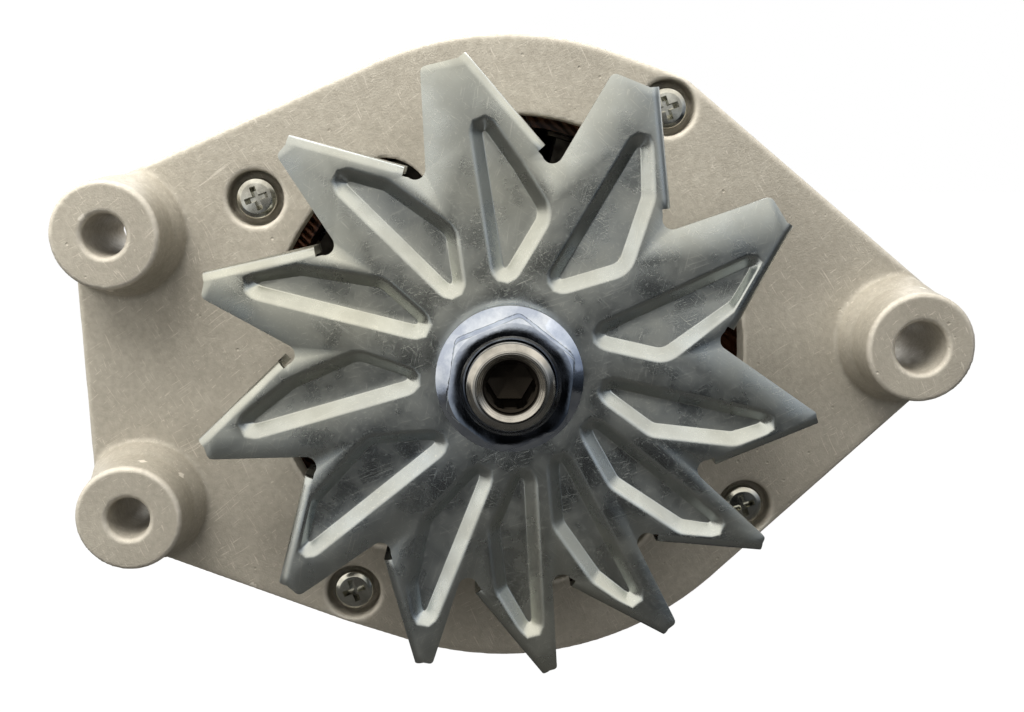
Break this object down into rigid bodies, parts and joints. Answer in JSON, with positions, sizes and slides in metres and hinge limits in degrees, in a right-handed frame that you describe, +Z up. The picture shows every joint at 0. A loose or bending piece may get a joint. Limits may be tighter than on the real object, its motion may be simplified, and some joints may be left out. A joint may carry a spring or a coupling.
{
  "type": "generator alternator head",
  "caption": "Claw-pole alternator head with an external star fan, three mounting ears, slip rings, brushes, rectifier and regulator under a rear cover.",
  "frame": {"origin": "on the shaft axis, in the plane of the three ears' front faces", "axes": "-Y along the shaft towards the drive end, +X towards the single right-hand ear, +Z up"},
  "size_m": [0.1829, 0.1727, 0.1304],
  "materials": {
    "cast_aluminium": "sand-blasted die casting",
    "zinc_plated_sheet": "satin zinc plate",
    "zinc_plated_nut": "bright zinc plate",
    "zinc_plated_screw": "bright zinc plate",
    "ground_shaft_steel": "ground and polished",
    "steel_sheet": "rolled sheet",
    "bearing_steel": "ground",
    "forged_pole_iron": "forged, varnished",
    "laminated_steel": "stacked and varnished",
    "enamelled_copper": "enamelled wire",
    "copper_ring": "turned",
    "plate_aluminium": "rolled plate",
    "nickel_plated_can": "nickel plate",
    "tin_plated_brass": "tin plate",
    "brass_stud": "turned",
    "spring_steel": "drawn wire",
    "brush_carbon": "pressed carbon",
    "black_plastic": "moulded",
    "natural_nylon": "moulded",
    "red_nylon": "moulded"
  },
  "bodies": {
    "housing": {"battery_stud": "brass_stud", "battery_stud_insulator": "red_nylon", "battery_stud_nut": "brass_stud", "bearing_retainer": "steel_sheet", "brush_holder": "black_plastic", "brush_spring_1": "spring_steel", "brush_spring_2": "spring_steel", "cover_screw_1": "zinc_plated_screw", "cover_screw_2": "zinc_plated_screw", "cover_screw_3": "zinc_plated_screw", "drive_end_bracket": "cast_aluminium", "front_bearing_outer_ring": "bearing_steel", "negative_diode_1": "nickel_plated_can", "negative_diode_2": "nickel_plated_can", "negative_diode_3": "nickel_plated_can", "negative_heat_sink": "plate_aluminium", "phase_lead_1": "enamelled_copper", "phase_lead_2": "enamelled_copper", "phase_lead_3": "enamelled_copper", "phase_terminal_board": "black_plastic", "positive_diode_1": "nickel_plated_can", "positive_diode_2": "nickel_plated_can", "positive_diode_3": "nickel_plated_can", "positive_heat_sink": "plate_aluminium", "rear_bearing_outer_ring": "bearing_steel", "rear_bearing_sleeve": "black_plastic", "rear_cover": "black_plastic", "regulator_screw_1": "zinc_plated_screw", "regulator_screw_2": "zinc_plated_screw", "retainer_screw_1": "zinc_plated_screw", "retainer_screw_2": "zinc_plated_screw", "retainer_screw_3": "zinc_plated_screw", "slip_ring_end_bracket": "cast_aluminium", "stator_core": "laminated_steel", "stator_winding": "enamelled_copper", "through_bolt_1": "zinc_plated_screw", "through_bolt_2": "zinc_plated_screw", "through_bolt_3": "zinc_plated_screw", "through_bolt_4": "zinc_plated_screw", "voltage_regulator": "black_plastic", "warning_lamp_terminal": "tin_plated_brass"},
    "rotor": {"rotor_shaft": "ground_shaft_steel", "fan_spacer": "ground_shaft_steel", "cooling_fan": "zinc_plated_sheet", "flange_nut": "zinc_plated_nut", "front_claw_pole": "forged_pole_iron", "rear_claw_pole": "forged_pole_iron", "field_bobbin": "natural_nylon", "field_winding": "enamelled_copper", "front_bearing_inner_ring": "bearing_steel", "rear_bearing_inner_ring": "bearing_steel", "slip_ring_carrier": "black_plastic", "slip_ring_1": "copper_ring", "slip_ring_2": "copper_ring"},
    "front_cage": {"front_bearing_balls": "bearing_steel"},
    "rear_cage": {"rear_bearing_balls": "bearing_steel"},
    "first_brush": {"brush_1": "brush_carbon"},
    "second_brush": {"brush_2": "brush_carbon"}
  },
  "joints": [
    {"name": "rotor_spin", "type": "hinge", "parent": "housing", "child": "rotor", "pos_m": [0, 0, 0], "axis": [0, -1, 0], "continuous": true},
    {"name": "front_cage_spin", "type": "hinge", "parent": "housing", "child": "front_cage", "pos_m": [0, 0.0196, 0], "axis": [0, -1, 0], "continuous": true},
    {"name": "rear_cage_spin", "type": "hinge", "parent": "housing", "child": "rear_cage", "pos_m": [0, 0.09, 0], "axis": [0, -1, 0], "continuous": true},
    {"name": "brush_1_slide", "type": "slide", "parent": "housing", "child": "first_brush", "axis": [0, 0, 1], "range_m": [0, 0.005], "stiffness_N_per_m": 300, "springref_m": -0.008, "deforming": ["brush_spring_1"]},
    {"name": "brush_2_slide", "type": "slide", "parent": "housing", "child": "second_brush", "axis": [0, 0, 1], "range_m": [0, 0.005], "stiffness_N_per_m": 300, "springref_m": -0.008, "deforming": ["brush_spring_2"]}
  ],
  "couplings": [
    {"joint": "front_cage_spin", "follows": "rotor_spin", "ratio": 0.364},
    {"joint": "rear_cage_spin", "follows": "rotor_spin", "ratio": 0.38}
  ]
}
